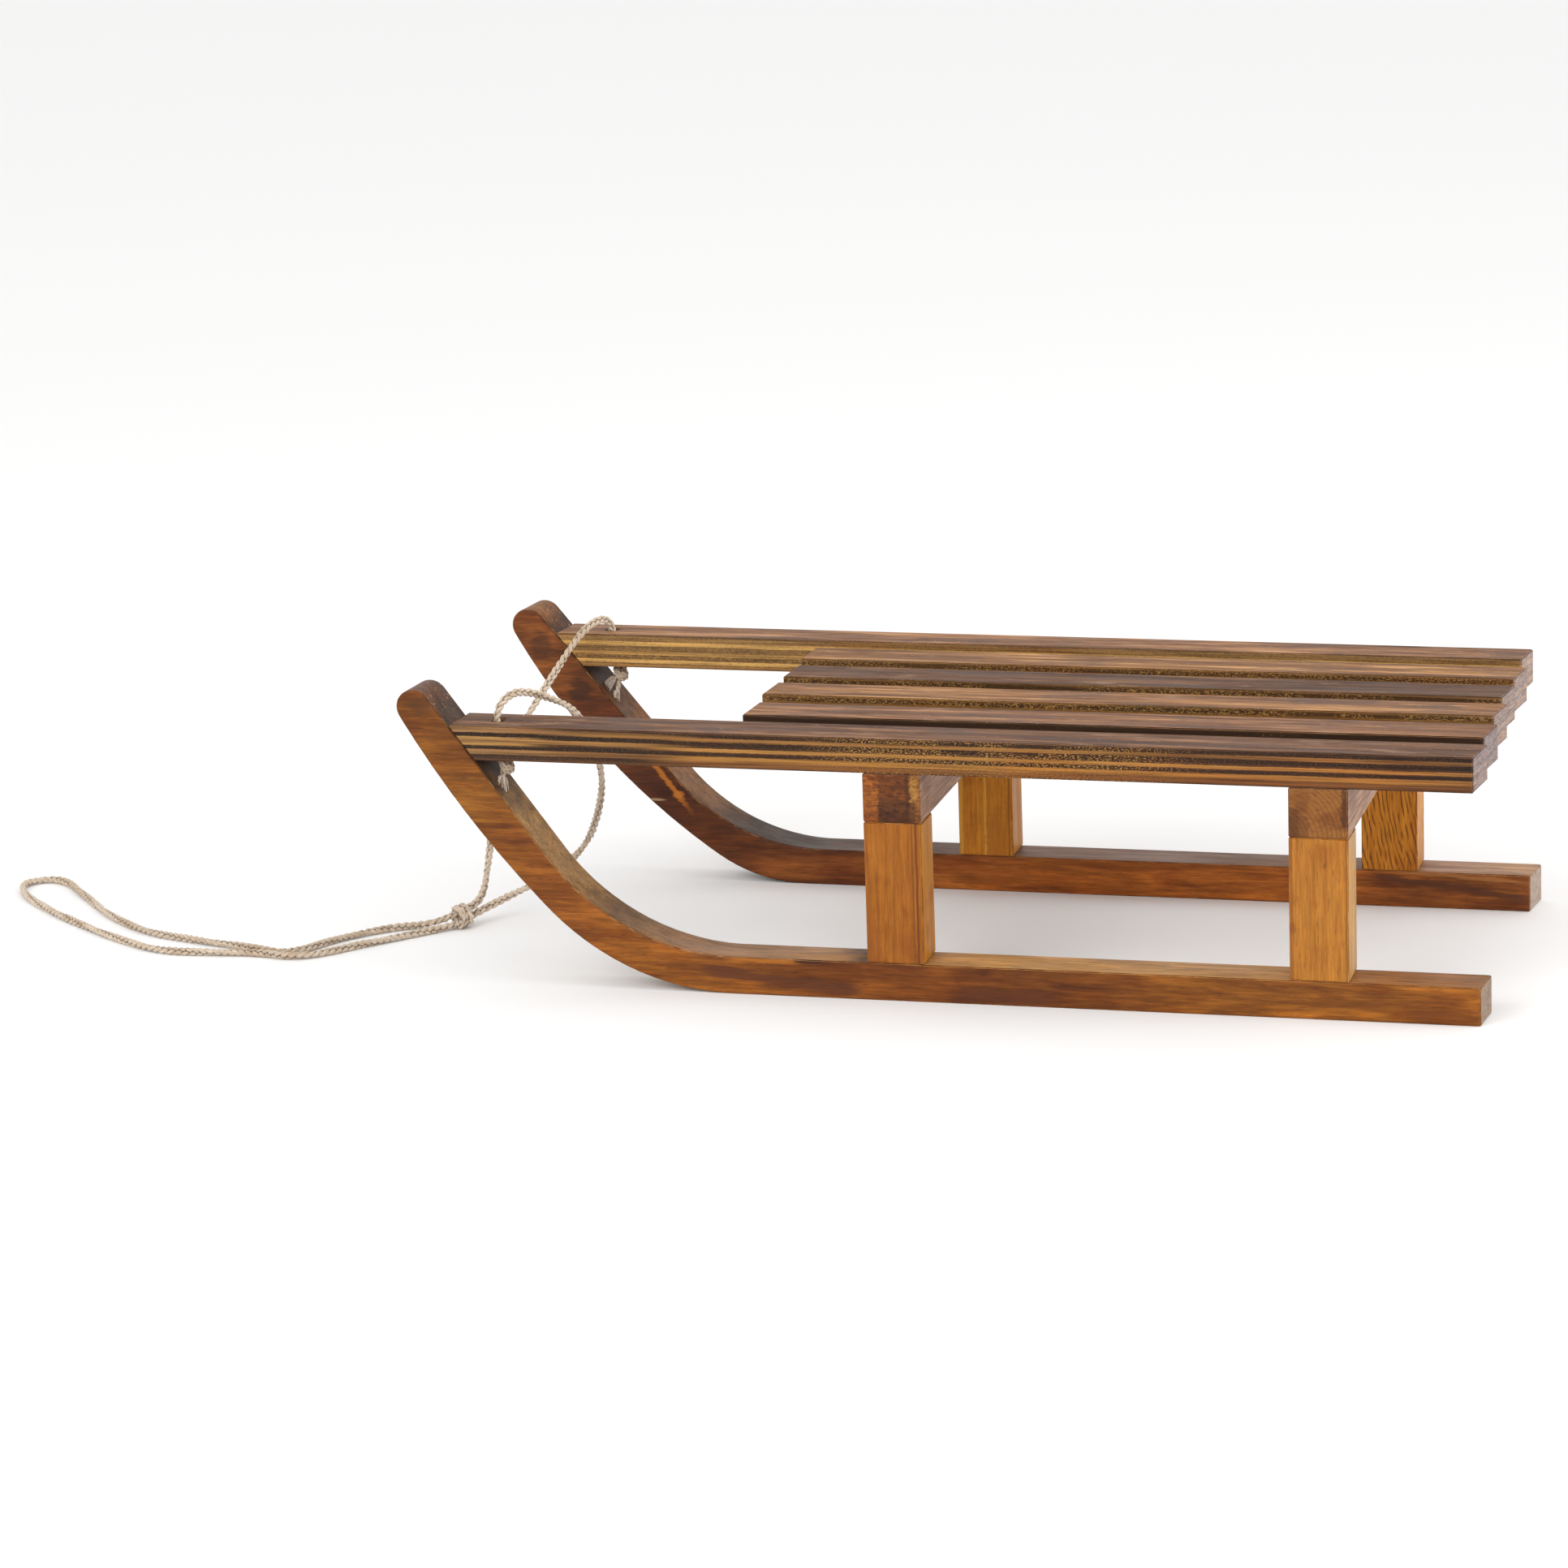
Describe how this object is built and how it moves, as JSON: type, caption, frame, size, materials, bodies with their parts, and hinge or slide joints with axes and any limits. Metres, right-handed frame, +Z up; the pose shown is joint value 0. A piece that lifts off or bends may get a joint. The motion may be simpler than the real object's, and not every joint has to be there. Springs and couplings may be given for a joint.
{
  "type": "wooden sledge",
  "caption": "Small wooden sledge with turned-up runners on posts, a slatted plywood seat with side rails, and a knotted jute tow rope.",
  "frame": {"origin": "on the ground, at the middle of the sledge's length and width, tow rope left out", "axes": "+X towards the rear ends of the runners, the turned-up toes point to -X; +Y across the seat, from the near rail to the far rail; +Z up"},
  "size_m": [0.8198, 0.228, 0.1525],
  "materials": {
    "runner_wood": "red-brown stain, rubbed satin, worn pale on the edges",
    "post_wood": "honey-brown stain, satin",
    "beam_wood": "dark walnut stain, open end grain",
    "plywood": "walnut-stained face veneer with the plies showing along the sawn sides",
    "dowel_wood": "plain unstained beech, hidden",
    "jute": "matt plaited jute with stray fibres",
    "screw_steel": "zinc-plated"
  },
  "bodies": {
    "root": {"near_runner": "runner_wood", "far_runner": "runner_wood", "front_near_post": "post_wood", "front_far_post": "post_wood", "rear_near_post": "post_wood", "rear_far_post": "post_wood", "front_crossbeam": "beam_wood", "rear_crossbeam": "beam_wood", "near_rail": "plywood", "far_rail": "plywood", "slat_2": "plywood", "slat_3": "plywood", "slat_4": "plywood", "slat_5": "plywood", "runner_screws": "screw_steel", "slat_screws": "screw_steel", "post_dowels": "dowel_wood", "toe_dowels": "dowel_wood", "tow_rope": "jute", "tow_knot": "jute", "near_stopper_knot": "jute", "far_stopper_knot": "jute"}
  },
  "joints": []
}
